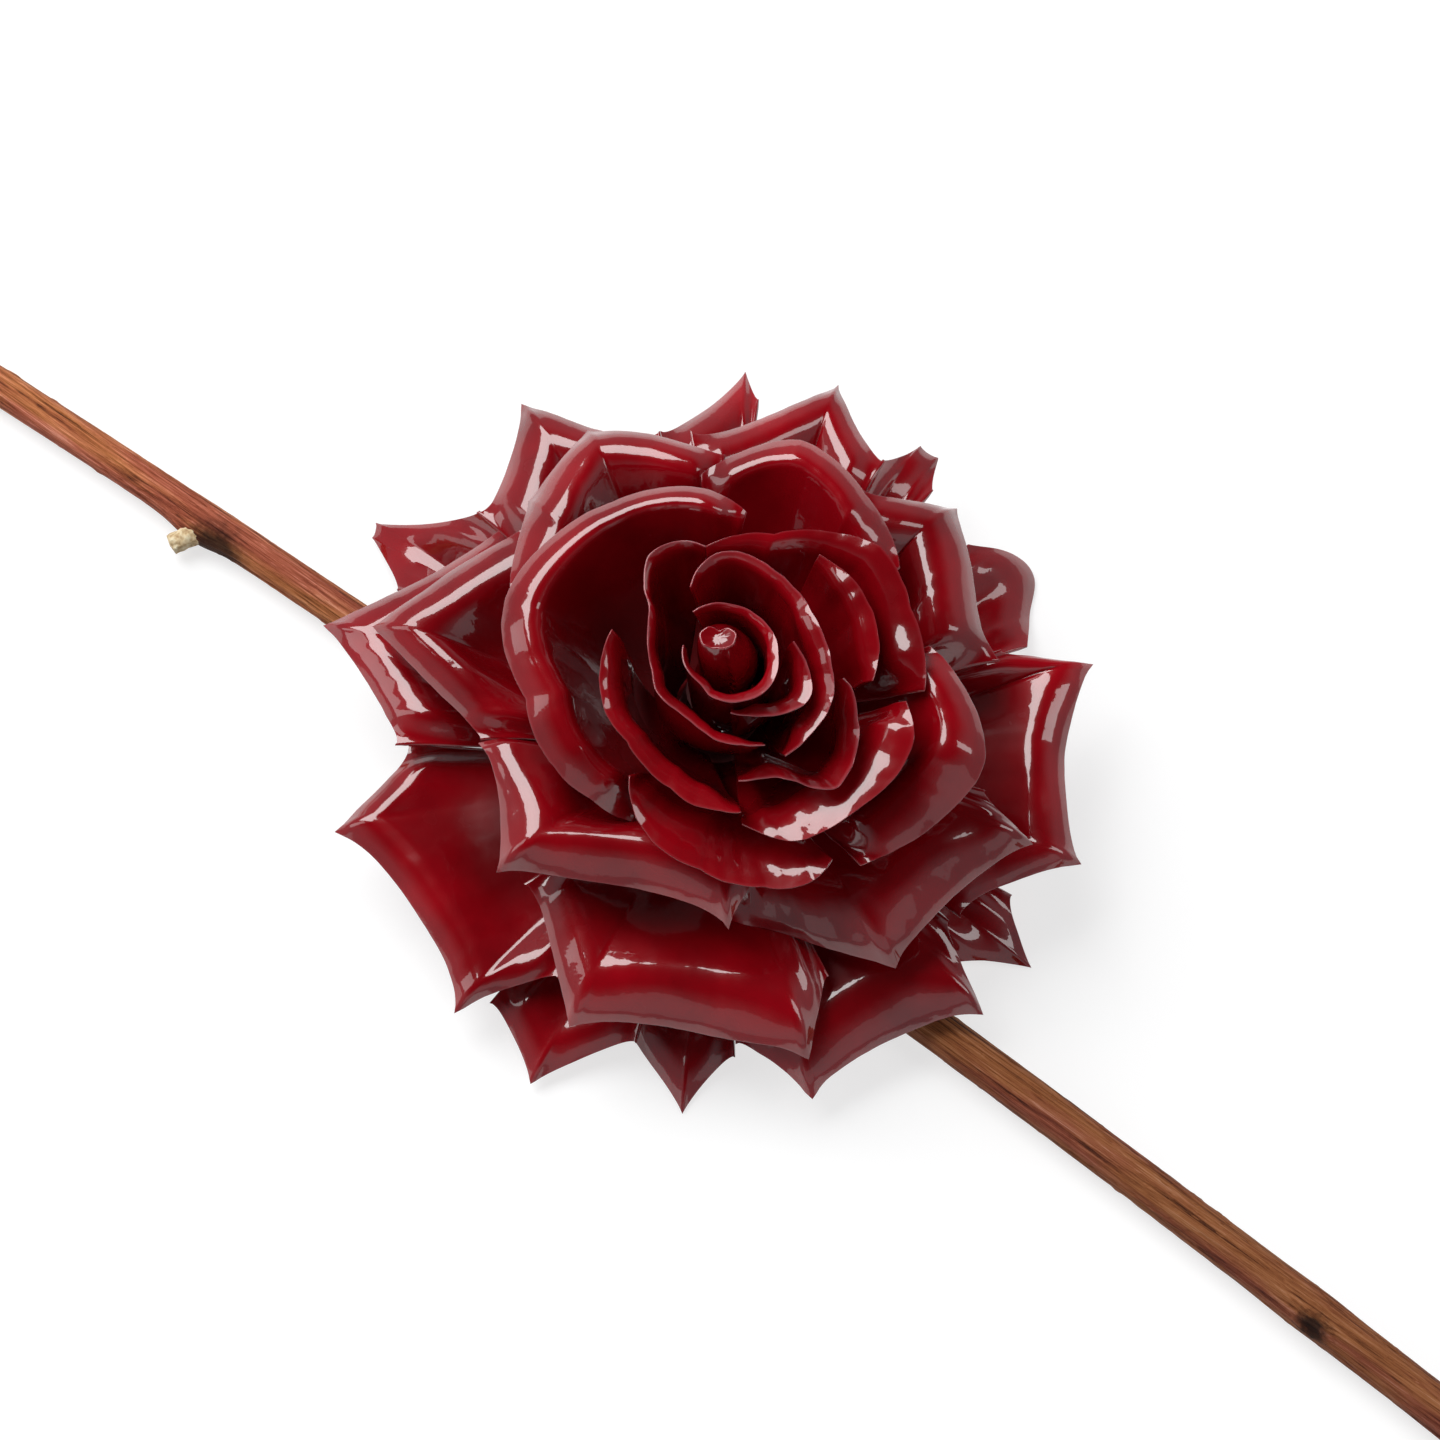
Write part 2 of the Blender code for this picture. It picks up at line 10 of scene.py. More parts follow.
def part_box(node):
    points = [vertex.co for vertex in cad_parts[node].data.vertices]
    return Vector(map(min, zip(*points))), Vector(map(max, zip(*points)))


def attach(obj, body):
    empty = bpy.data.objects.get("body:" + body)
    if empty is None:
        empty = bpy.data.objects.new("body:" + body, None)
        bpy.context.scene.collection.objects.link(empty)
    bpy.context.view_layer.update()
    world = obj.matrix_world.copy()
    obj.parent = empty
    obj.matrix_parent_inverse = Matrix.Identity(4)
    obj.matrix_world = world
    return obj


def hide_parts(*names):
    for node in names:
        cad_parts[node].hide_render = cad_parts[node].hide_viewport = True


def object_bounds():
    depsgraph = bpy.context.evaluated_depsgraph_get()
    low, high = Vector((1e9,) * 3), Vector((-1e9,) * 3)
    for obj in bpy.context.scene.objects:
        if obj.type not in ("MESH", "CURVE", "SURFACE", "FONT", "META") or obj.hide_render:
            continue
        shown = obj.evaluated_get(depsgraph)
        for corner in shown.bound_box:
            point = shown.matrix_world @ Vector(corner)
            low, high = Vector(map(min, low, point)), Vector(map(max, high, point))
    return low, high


MM = 0.001
NOISE_SEED = 4
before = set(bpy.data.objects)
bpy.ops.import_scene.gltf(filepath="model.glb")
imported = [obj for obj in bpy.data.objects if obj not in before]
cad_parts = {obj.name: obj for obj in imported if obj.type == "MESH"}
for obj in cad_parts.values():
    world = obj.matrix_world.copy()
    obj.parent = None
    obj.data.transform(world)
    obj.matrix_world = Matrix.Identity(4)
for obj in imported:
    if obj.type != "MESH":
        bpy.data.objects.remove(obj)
cad_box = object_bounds()

# noise_vector takes its offsets from the clock unless it has a seed
noise.seed_set(NOISE_SEED)

# sizes that the petals, the bud and the twig share with their solids
PETAL_THICKNESS = 0.5 * MM
JOIN_GAP = 0.3 * MM
CLAW_CLEARANCE = 0.25 * MM
CORE_FOOT_RADIUS = 8.6 * MM
CORE_TOP_RADIUS = 4.2 * MM
CORE_FOOT_HEIGHT = 4.6 * MM
CORE_TOP_HEIGHT = 38.0 * MM
HEART_FOOT_RADIUS = 3.4 * MM
HEART_RADIUS = 3.9 * MM
HEART_TIP_RADIUS = 1.9 * MM
HEART_TIP_HEIGHT = 60.0 * MM
HEART_LEAN = 1.4 * MM
HEART_LEAN_AZIMUTH = math.radians(44)
TWIG_THIN_RADIUS = 2.45 * MM
TWIG_THICK_RADIUS = 3.1 * MM
TWIG_THIN_END = -125.0 * MM
TWIG_THICK_END = 152.0 * MM
TWIG_OFFSET = 11.6 * MM
TWIG_BOW = 3.6 * MM
TWIG_LIFT = 0.5 * MM
STUB_PLACE = -77.5 * MM
STUB_ROOT_RADIUS = 2.2 * MM
STUB_CUT_RADIUS = 1.3 * MM
KNOT_PLACE = 108.0 * MM
KNOT_LENGTH = 5.0 * MM

# the bloom's axis, read from the CAD core, and the table under it
core_low, core_high = [np.array(corner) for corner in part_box("core")]
AXIS = 0.5 * (core_low + core_high)
AXIS[2] = core_low[2] - CORE_FOOT_HEIGHT

# camera: high above the front, twig running from upper left to lower right
TABLE_TURN = math.radians(36.7)
ELEVATION = math.radians(72.0)
DISTANCE = 0.9
LENS = 168.75
AIM = (0.00027, 0.00015, 0.025)
RIGHT = np.array([math.cos(TABLE_TURN), math.sin(TABLE_TURN), 0.0])
AWAY = np.array([-math.sin(TABLE_TURN), math.cos(TABLE_TURN), 0.0])

# Each whorl: height of the glued foot (mm), how much the rolled margin falls per width, how far it leans
# outward instead of down (degrees), rise of the sheet where it leaves the core and where it meets the margin
# (degrees), depth of its ripples and of the crinkles of its edge (mm).
WHORLS = {
    "outer": (5.4, 1.0, 0, 6, 0, 0.3, 0.0),
    "sixth": (9.2, 1.2, 0, 12, 16, 0.5, 0.1),
    "fifth": (13.4, 1.3, 0, 14, 25, 0.5, 0.1),
    "fourth": (17.6, 1.45, 5, 14, 36, 0.5, 0.1),
    "third": (22.0, 1.8, 20, 20, 58, 0.4, 0.15),
    "second": (26.5, 1.3, 35, 35, 68, 0.2, 0.25),
    "inner": (30.5, 1.0, 50, 50, 76, 0.25, 0.35),
    "heart": (34.0, 1.1, 50, 65, 80, 0.12, 0.35),
}

# Each petal: lift of its foot above its whorl's (mm), sag of its edge between corners as a share of their
# distance (ROUND for an edge without corners), then the points of the rolled edge, counter-clockwise, as
# azimuth (degrees), reach from the bloom's axis, height above the table and width of the margin (mm).
ROUND = None
PETALS = {
    "outer_front_left": (3.8, 0.14, [(-96, 45.4, 5, 2.5), (-83, 50.6, 2, 2.8), (-69, 40.8, 6, 2.5)]),
    "outer_front": (2.4, 0.16, [(-74, 38.3, 0.5, 2.5), (-59, 47.8, 0.5, 2.5), (-50, 40.5, 3, 2.5)]),
    "outer_front_right": (0.0, 0.14, [(-5, 41.9, 4, 4), (4, 50.4, 0.5, 4), (12, 43.8, 5, 3)]),
    "outer_right": (0.0, ROUND, [(59, 45.8, 4, 3), (65, 48.8, 1, 3.5), (70, 52.3, 0.5, 3.5),
        (74, 51.2, 3, 3.5), (79, 46.1, 8, 3)]),
    "outer_back_right": (0.0, 0.12, [(88, 47.0, 14, 3), (91, 51.6, 12, 3), (94, 51.4, 13, 3),
        (97, 45.7, 18, 3)]),
    "outer_back": (0.0, 0.14, [(120, 48.3, 19, 4), (123, 52.9, 17, 4), (137, 43.5, 21, 4)]),
    "outer_left": (0.0, 0.12, [(171, 47.0, 14, 4), (179, 60.0, 1, 3.5), (181, 59.1, 1, 3.5),
        (187, 50.7, 6, 3.5)]),
    "sixth_left": (2.4, 0.14, [(170, 42.1, 19, 3.5), (199, 56.2, 15, 4), (218, 43.4, 17, 4)]),
    "sixth_front_left": (1.2, 0.17, [(215, 42.1, 12, 2.8), (229, 52.5, 12, 3), (262, 50.3, 9, 3.2),
        (273, 38.5, 12, 4)]),
    "sixth_front_right": (1.2, 0.16, [(-50, 40.1, 8, 4), (-38, 48.5, 7, 5), (-9, 50.6, 10, 6),
        (-2, 39.6, 15, 4)]),
    "sixth_right": (0.4, 0.17, [(-1, 40.8, 17, 5.5), (18, 51.3, 15, 4.5), (49, 51.8, 17, 3.5),
        (54, 39.8, 20, 5.5)]),
    "sixth_back_right": (0.0, 0.14, [(95, 42.8, 26, 3.5), (108, 51.4, 24, 3.5), (132, 39.7, 30, 4)]),
    "sixth_back_left": (3.4, 0.16, [(138, 40.6, 29, 5), (157, 52.8, 24, 5), (174, 44.3, 24, 6)]),
    "fifth_left": (0.8, 0.1, [(170, 37.1, 28.5, 5), (200, 48.0, 24, 5), (221, 31.8, 24, 8.5)]),
    "fifth_right": (0.0, 0.1, [(49, 38.6, 26, 6.5), (79, 43.4, 28, 5.5), (94, 35.4, 34, 3.5)]),
    "fifth_back": (2.2, 0.05, [(125, 33.7, 36, 3), (151, 42.1, 34, 4), (169, 38.1, 34, 8),
        (189, 31.3, 34, 9)]),
    "fifth_front": (0.6, 0.14, [(-104, 33.4, 20, 3.5), (-80, 43.9, 16, 4.5), (-38, 45.2, 14.5, 5.5),
        (-29, 35.9, 16, 5)]),
    "fourth_front_left": (0.0, 0.17, [(-116, 17.7, 25, 4), (-136, 31.8, 29, 3.5), (-107, 36.3, 28, 5),
        (-51, 29.5, 27, 8), (-40, 24.2, 30, 6)]),
    "fourth_front_right": (0.0, 0.16, [(-50, 27.0, 18, 5), (-17, 39.9, 20, 6), (15, 45.0, 24, 6),
        (20, 36.9, 28, 4)]),
    "third_left": (0.0, -0.04, [(117, 22.7, 45, 2.5), (130, 25.7, 46, 2.8), (156, 28.2, 44, 2.8),
        (193, 30.1, 40, 3.5), (220, 25.0, 38, 4), (242, 23.6, 37, 4), (257, 21.7, 34.5, 4),
        (272, 18.6, 29, 3)]),
    "third_back": (0.0, -0.05, [(73, 30.0, 36, 3.5), (90, 33.2, 40, 3.5), (109, 35.7, 41, 3),
        (131, 29.9, 39, 3)]),
    "third_right": (0.0, ROUND, [(-14, 29.4, 34, 4), (5, 33.4, 35, 5), (18, 36.2, 38, 5),
        (26, 35.6, 39, 4.5), (38, 31.8, 40, 4), (48, 28.4, 40, 3)]),
    "second_back": (0.0, -0.03, [(33, 27.1, 43, 4), (56, 26.9, 45, 3), (75, 27.1, 47, 3),
        (105, 20.0, 47, 2.5), (132, 16.9, 47, 1.5)]),
    "second_right": (2.4, ROUND, [(33, 20.2, 46, 1.5), (49, 21.5, 47, 2), (67, 21.5, 48, 2),
        (86, 20.4, 48, 1.5)]),
    "second_front_right": (1.4, ROUND, [(-44, 19.3, 40, 2), (-29, 23.5, 41, 3), (-17, 24.9, 42, 3.5),
        (-4, 25.9, 43, 3.5), (11, 27.2, 44, 3.5), (20, 26.6, 45, 3), (28, 24.8, 45, 2)]),
    "second_front": (0.0, -0.06, [(-96, 17.2, 41, 3), (-81, 21.1, 39, 4), (-58, 24.5, 37, 5),
        (-40, 27.2, 36, 5), (-27, 28.4, 36, 5), (-20, 27.4, 37, 4)]),
    "second_left": (2.4, -0.04, [(199, 14.4, 50, 2.5), (226, 15.5, 48, 3.5), (257, 15.5, 46, 3.5),
        (284, 16.8, 45, 3), (307, 18.3, 44, 2.5), (316, 18.8, 44, 2)]),
    "inner_front_right": (0.0, ROUND, [(-43, 14.8, 45, 1.5), (-25, 16.2, 46, 2), (-15, 20.5, 46, 2),
        (-9, 22.0, 46, 2), (0, 21.5, 47, 2), (12, 20.0, 48, 2), (25, 17.8, 49, 2), (30, 16.4, 49, 1.5)]),
    "inner_left": (0.9, ROUND, [(133, 14.8, 53, 1.5), (146, 16.4, 53, 1.5), (160, 16.0, 53, 1.5),
        (173, 13.4, 53, 1.5), (187, 10.6, 53, 1.5), (225, 8.9, 52, 2), (248, 9.1, 52, 2),
        (275, 9.1, 52, 2), (304, 10.9, 52, 1.5), (334, 13.2, 52, 1.5)]),
    "inner_right": (2.0, ROUND, [(-20, 15.9, 51, 1.5), (-5, 15.9, 51, 2), (13, 15.9, 52, 2),
        (33, 14.9, 53, 2), (53, 13.5, 54, 2), (76, 13.2, 54, 1.5), (96, 12.9, 55, 1.5),
        (122, 13.2, 55, 1.5), (137, 11.8, 55, 1.5), (149, 9.2, 55, 1.2)]),
    "heart_outer": (0.0, ROUND, [(-42, 8.4, 54, 1.2), (-17, 10.9, 54, 1.8), (5, 13.3, 54, 1.8),
        (20, 12.7, 54, 1.6), (43, 9.8, 55, 1.2)]),
    "heart_inner": (2.4, ROUND, [(-142, 4.5, 57, 1), (-81, 5.8, 57, 1), (-57, 7.2, 57, 1),
        (-31, 8.5, 57, 1), (-3, 9.0, 57, 1), (28, 8.0, 57, 1), (60, 7.0, 57, 1), (96, 6.3, 57, 1),
        (122, 5.9, 57, 1), (163, 5.5, 57, 1)]),
}

# petals whose sheet rises in its own way where it leaves the core and where it meets the margin (degrees)
OWN_RISE = {
    "fourth_front_left": (26, 24),
    "fourth_front_right": (14, 20),
    "fifth_front": (13, 16),
    "sixth_right": (4, 26),
    "sixth_front_left": (9, 19),
}

# fineness of a petal's grid
SHEET_ROWS = 34
MARGIN_ROWS = 18
COLUMNS = 80

# the sheet: its claw on the core, how straight it leaves the core and meets the margin
CLAW_ANGLE = math.radians(50)
CLAW_SHARE = 0.62
RISE_HOLD = 0.38
ARC_FULLNESS = 0.7
SHEET_SOFT_PASSES = 60

# the rolled margin: its tucked ends, its bend and how far it reaches inward, and its thin edge
TUCK_LENGTH = 5.0 * MM
TUCK_SHARE = 0.3
MARGIN_BEND = 1.4
MARGIN_SHOULDER = 1.6
MARGIN_SOFT_PASSES = 50
THIN_EDGE = 1.2 * MM
THIN_EDGE_SHARE = 0.36

# the inner rims stand thin, and turn out flat on the lower right of the picture
LIP_WHORLS = ("second", "inner", "heart")
LIP_AZIMUTH = math.radians(-4)
LIP_LEAST_ROLL = 0.5
LIP_ADDED_ROLL = 0.65
LIP_ADDED_LEAN = 25

# unevenness: waves of the edge from this share of the sheet outward, and drooping tips
WAVE = 0.5 * MM
WAVE_START = 0.4
TIP_DROOP = 1.1 * MM
TIP_DROOP_REACH = 2.6 * MM
DROOPING_WHORLS = ("sixth", "fifth", "fourth")


def ease(share):
    """Smooth step from 0 to 1."""
    return share * share * (3 - 2 * share)


def core_radius(height):
    share = (height - CORE_FOOT_HEIGHT) / (CORE_TOP_HEIGHT - CORE_FOOT_HEIGHT)
    return CORE_FOOT_RADIUS + (CORE_TOP_RADIUS - CORE_FOOT_RADIUS) * min(max(share, 0.0), 1.0)


def edge_curve(corners, sag, columns):
    """Edge of a petal as points (azimuth, reach, height, width), with its corners sharp or rounded off."""
    pts = np.array(corners, dtype=float)
    chord = np.hypot(np.radians(np.diff(pts[:, 0])) * pts[:-1, 1], np.diff(pts[:, 1]))
    counts = np.maximum(2, np.round(columns * chord / chord.sum()).astype(int))
    counts[np.argmax(counts)] += columns - counts.sum()
    curve = []
    for i in range(len(pts) - 1):
        enter = 0.5 * (pts[i + 1] - pts[max(i - 1, 0)])
        leave = 0.5 * (pts[min(i + 2, len(pts) - 1)] - pts[i])
        for k in range(counts[i]):
            s = k / counts[i]
            if sag is ROUND:
                point = ((2 * s ** 3 - 3 * s ** 2 + 1) * pts[i] + (s ** 3 - 2 * s ** 2 + s) * enter
                         + (3 * s ** 2 - 2 * s ** 3) * pts[i + 1] + (s ** 3 - s ** 2) * leave)
            else:
                point = pts[i] * (1 - s) + pts[i + 1] * s
                point[1] -= sag * chord[i] * (4 * s * (1 - s)) ** (ARC_FULLNESS if sag > 0 else 1.0)
            curve.append(point)
    curve.append(pts[-1])
    return np.array(curve)


def wobble(points, scale, seed):
    """Smooth noise at each point."""
    flat = points.reshape(-1, 3)
    values = [noise.noise(Vector((p[0] * scale + seed, p[1] * scale, p[2] * scale))) for p in flat]
    return np.array(values).reshape(points.shape[:-1])


def soften(values, passes):
    """Evens out values along a petal's width and keeps both ends."""
    for _ in range(passes):
        inner = 0.25 * values[..., :-2, :] + 0.5 * values[..., 1:-1, :] + 0.25 * values[..., 2:, :]
        values = np.concatenate([values[..., :1, :], inner, values[..., -1:, :]], axis=-2)
    return values


def grid_normals(grid):
    normal = np.cross(np.gradient(grid, axis=0), np.gradient(grid, axis=1))
    return normal / np.linalg.norm(normal, axis=-1, keepdims=True)


def uneven_rim(end, to_end, crinkle, seed):
    """The petal's upper end with crinkles and waves, which fade out towards its tucked ends."""
    jitter = np.array([0.7 * noise.noise_vector(Vector(point * 170 + seed))
                       + 0.5 * noise.noise_vector(Vector(point * 560)) for point in end])
    wave = np.array([noise.noise_vector(Vector(point * 85 - seed)) for point in end]) * WAVE
    return end + (jitter * crinkle * MM + wave) * to_end[:, None]


def sheet_grid(start, end, width, rise_foot, rise_rim):
    """Curved sheet from its start on the core to its upper end, and each row's share of the way."""
    flat = end[:, :2] - start[:, :2]
    along = np.zeros_like(end)
    along[:, :2] = flat / np.linalg.norm(flat, axis=1)[:, None]
    up = np.array([0.0, 0.0, 1.0])
    leave_core = math.radians(rise_foot)
    meet_margin = math.radians(rise_rim)
    chord = np.linalg.norm(end - start, axis=1)
    hold = RISE_HOLD * chord[:, None]
    first = start + hold * (along * math.cos(leave_core) + up * math.sin(leave_core))
    last = end - hold * (along * math.cos(meet_margin) + up * math.sin(meet_margin))
    # rows, closer together on the margin
    turns = np.radians(np.linspace(0, 90, MARGIN_ROWS + 1))
    share = MARGIN_SHOULDER * width.mean() / chord.mean()
    rows = [(1 - share) * k / SHEET_ROWS for k in range(SHEET_ROWS)]
    rows += [1 - share * (1 - math.sin(turn)) for turn in turns]
    t = np.array(rows)[:, None, None]
    return (1 - t) ** 3 * start + 3 * t * (1 - t) ** 2 * first + 3 * t * t * (1 - t) * last + t ** 3 * end, t


def distance_to(rim, grid):
    """Distance of each point of a grid from the rim."""
    a = rim[:-1]
    ab = rim[1:] - a
    rel = grid[:, :, None, :] - a
    s = np.clip((rel * ab).sum(-1) / (ab * ab).sum(-1), 0, 1)
    return np.linalg.norm(rel - s[..., None] * ab, axis=-1).min(-1)


def petal_sheet(name, seed):
    """Middle surface of a petal as a grid of points, with their distance from the edge and the thickness."""
    lift, sag, corners = PETALS[name]
    whorl = name.split("_")[0]
    foot, slope, lean, rise_foot, rise_rim, ripple, crinkle = WHORLS[whorl]
    rise_foot, rise_rim = OWN_RISE.get(name, (rise_foot, rise_rim))
    foot = (foot + lift) * MM
    edge = edge_curve(corners, sag, COLUMNS)
    azimuth = np.radians(edge[:, 0])
    width = edge[:, 3] * MM
    step = np.hypot(np.radians(np.diff(edge[:, 0])) * edge[:-1, 1], np.diff(edge[:, 1])) * MM
    place = np.concatenate([[0], np.cumsum(step)])
    to_end = np.clip(np.minimum(place, place[-1] - place) / TUCK_LENGTH, 0, 1)

    # how far the margin falls, and which way
    roll = slope * width * (TUCK_SHARE + (1 - TUCK_SHARE) * ease(to_end))
    lip = np.zeros_like(azimuth)
    if whorl in LIP_WHORLS:
        lip = (0.5 + 0.5 * np.cos(azimuth - LIP_AZIMUTH)) ** 2
        roll = roll * (LIP_LEAST_ROLL + LIP_ADDED_ROLL * lip)
    lean = np.radians(lean + LIP_ADDED_LEAN * lip)
    down = np.stack([np.sin(lean) * np.cos(azimuth), np.sin(lean) * np.sin(azimuth), -np.cos(lean)], 1)

    # claw on the core and upper end of the sheet
    seat = core_radius(foot) + JOIN_GAP + 0.5 * PETAL_THICKNESS + CLAW_CLEARANCE
    middle = 0.5 * (azimuth[0] + azimuth[-1])
    span = azimuth[-1] - azimuth[0]
    claw = max(min(span, CLAW_ANGLE), CLAW_SHARE * span)
    seat_azimuth = middle + claw * (azimuth - middle) / span
    start = np.stack([seat * np.cos(seat_azimuth), seat * np.sin(seat_azimuth), np.full(len(edge), foot)], 1)
    reach = edge[:, 1] * MM - roll * np.sin(lean)
    height = edge[:, 2] * MM + roll * np.cos(lean)
    end = np.stack([reach * np.cos(azimuth), reach * np.sin(azimuth), height], 1)
    rim = uneven_rim(end, to_end, crinkle, seed)
    end = soften(end, SHEET_SOFT_PASSES)
    start = soften(start, SHEET_SOFT_PASSES)
    grid, t = sheet_grid(start, end, width, rise_foot, rise_rim)
    grid = grid + (rim - end) * ease(np.clip((t - WAVE_START) / (1 - WAVE_START), 0, 1))

    # rounded fall of the margin, then the drooping tips
    away = distance_to(rim, grid)
    inside = np.clip(1 - away / (MARGIN_SHOULDER * width), 0, 1)
    inside = soften(inside[..., None], MARGIN_SOFT_PASSES)[..., 0]
    full = math.sqrt(1 + MARGIN_BEND ** 2) - MARGIN_BEND
    fall = roll * (np.sqrt(inside ** 2 + MARGIN_BEND ** 2) - MARGIN_BEND) / full
    grid = grid + fall[..., None] * down[None]
    if whorl in DROOPING_WHORLS:
        for corner in corners[1:-1]:
            turn = math.radians(corner[0])
            tip = np.array([corner[1] * math.cos(turn), corner[1] * math.sin(turn), corner[2]]) * MM
            near = np.exp(-((grid - tip) ** 2).sum(-1) / TIP_DROOP_REACH ** 2)
            grid[..., 2] -= TIP_DROOP * near

    # ripples of the wax over the whole sheet, and crumpled wax near its edge
    t = t[..., 0]
    swell = wobble(grid, 55.0, seed * 7.3) * 1.6 + wobble(grid, 150.0, seed * 3.1 + 40) * 0.25
    swell *= ripple * np.clip(2.5 * t, 0, 1)
    crumple = wobble(grid, 190.0, seed * 5.9 + 12) * 0.45 + wobble(grid, 600.0, seed * 2.3 + 31) * 0.08
    crumple *= crinkle * (1 + lip) * np.clip(2.5 * t - 1.2, 0, 1)
    grid = grid + grid_normals(grid) * ((swell + crumple) * MM)[..., None]
    thickness = PETAL_THICKNESS * (THIN_EDGE_SHARE + (1 - THIN_EDGE_SHARE) * np.clip(away / THIN_EDGE, 0, 1))
    return grid, away, thickness


def solid(name, grid, thickness, uv):
    """Closed thin solid of a sheet, smooth, with a UV map in millimetres (across, distance from the edge)."""
    rows, cols = grid.shape[:2]
    offset = grid_normals(grid) * thickness / 2
    points = np.concatenate([(grid + offset).reshape(-1, 3), (grid - offset).reshape(-1, 3)])
    count = rows * cols
    i, j = np.meshgrid(np.arange(rows - 1), np.arange(cols - 1), indexing="ij")
    p = (i * cols + j).ravel()
    top = np.stack([p, p + cols, p + cols + 1, p + 1], 1)
    bottom = np.stack([p, p + 1, p + cols + 1, p + cols], 1) + count
    rim = list(range(cols)) + [k * cols + cols - 1 for k in range(1, rows)]
    rim += [(rows - 1) * cols + k for k in range(cols - 2, -1, -1)]
    rim += [k * cols for k in range(rows - 2, 0, -1)]
    rim = np.array(rim)
    following = np.roll(rim, -1)
    side = np.stack([rim, following, count + following, count + rim], 1)
    faces = np.concatenate([top, bottom, side])
    return mesh_piece(name, points + AXIS, faces, np.concatenate([uv, uv]))


def mesh_piece(name, points, faces, uv=None):
    mesh = bpy.data.meshes.new(name)
    mesh.from_pydata(points.tolist(), [], [list(map(int, face)) for face in faces])
    if uv is not None:
        layer = mesh.uv_layers.new(name="UVMap")
        index = np.zeros(len(mesh.loops), dtype=np.int64)
        mesh.loops.foreach_get("vertex_index", index)
        layer.data.foreach_set("uv", uv[index].ravel())
    mesh.shade_smooth()
    mesh.validate()
    obj = bpy.data.objects.new(name, mesh)
    bpy.context.scene.collection.objects.link(obj)
    return obj


class Nodes:
    """Small helper to build a node tree."""

    def __init__(self, tree):
        self.tree = tree

    def add(self, kind, **values):
        node = self.tree.nodes.new(kind)
        for key, value in values.items():
            if key.startswith("in_"):
                node.inputs[key[3:].replace("_", " ")].default_value = value
            else:
                setattr(node, key, value)
        return node

    def link(self, a, b):
        self.tree.links.new(a, b)

    def separate(self, vector, axis):
        node = self.add("ShaderNodeSeparateXYZ")
        self.link(vector, node.inputs["Vector"])
        return node.outputs[axis]

    def mapped(self, vector, **values):
        """Vector moved or stretched."""
        node = self.add("ShaderNodeMapping", **values)
        self.link(vector, node.inputs["Vector"])
        return node.outputs["Vector"]

    def noise(self, vector, scale, detail, output="Fac", **values):
        node = self.add("ShaderNodeTexNoise", in_Scale=scale, in_Detail=detail, **values)
        self.link(vector, node.inputs["Vector"])
        return node.outputs[output]

    def remap(self, value, start, stop, low, high, interpolation="LINEAR"):
        """Value between start and stop, brought to between low and high."""
        node = self.add("ShaderNodeMapRange", interpolation_type=interpolation, in_From_Min=start,
                        in_From_Max=stop, in_To_Min=low, in_To_Max=high)
        self.link(value, node.inputs["Value"])
        return node.outputs["Result"]

    def ramp(self, source, stops):
        node = self.add("ShaderNodeValToRGB")
        while len(node.color_ramp.elements) < len(stops):
            node.color_ramp.elements.new(0.5)
        for element, (place, colour) in zip(node.color_ramp.elements, stops):
            element.position = place
            element.color = (*colour, 1.0)
        self.link(source, node.inputs["Fac"])
        return node.outputs["Color"]

    def math(self, operation, a, b):
        node = self.add("ShaderNodeMath", operation=operation)
        self.link(a, node.inputs[0])
        self.link(b, node.inputs[1])
        return node.outputs["Value"]

    def scaled(self, vector, factor):
        node = self.add("ShaderNodeVectorMath", operation="SCALE")
        self.link(vector, node.inputs[0])
        self.link(factor, node.inputs["Scale"])
        return node.outputs["Vector"]

    def mix_shaders(self, share, a, b):
        node = self.add("ShaderNodeMixShader")
        self.link(share, node.inputs["Fac"])
        self.link(a, node.inputs[1])
        self.link(b, node.inputs[2])
        return node.outputs["Shader"]

    def shown_rays(self, rays):
        """1 for the rays that show the white background: camera, glossy and transmission rays."""
        total = rays.outputs["Is Camera Ray"]
        for kind in ("Is Glossy Ray", "Is Transmission Ray"):
            total = self.math("MAXIMUM", total, rays.outputs[kind])
        return total


class Finish(Nodes):
    """Material around the Principled shader."""

    def __init__(self, name):
        self.material = bpy.data.materials.new(name)
        self.material.use_nodes = True
        super().__init__(self.material.node_tree)
        self.shader = self.tree.nodes["Principled BSDF"]
        self.place = self.add("ShaderNodeTexCoord")

    def set(self, **values):
        for key, value in values.items():
            self.shader.inputs[key.replace("_", " ")].default_value = value

    def bump(self, height, strength, distance, sockets=("Normal",)):
        node = self.add("ShaderNodeBump", in_Strength=strength, in_Distance=distance)
        self.link(height, node.inputs["Height"])
        for socket in sockets:
            self.link(node.outputs["Normal"], self.shader.inputs[socket])


# wax: reds of the paper, colour of the paler thin edge (also a painted highlight on the inner rims and the
# bud's crest), where that edge ends and where the painted shade at the foot is darkest (mm)
WAX_REDS = [(0.3, (0.165, 0.0005, 0.003)), (0.55, (0.27, 0.0008, 0.005)), (0.75, (0.35, 0.0012, 0.007))]
EDGE_PALE_AND_HIGHLIGHT_COLOUR = (0.36, 0.06, 0.075, 1)
WAX_EDGE_REACH = (0.05, 0.3)
PAINTED_FOOT_SHADE_REACH = (4.0, 20.0)
PAINTED_FOOT_SHADE = 0.4
# shares of the edge colour: a plain paler edge on the outer petals, and more on the inner rims and the bud's
# crest, where it is a painted highlight
PALE_EDGE = 0.2
INNER_EDGE_PALE_AND_HIGHLIGHT = 0.6
BUD_CREST_PAINTED_HIGHLIGHT = 0.5


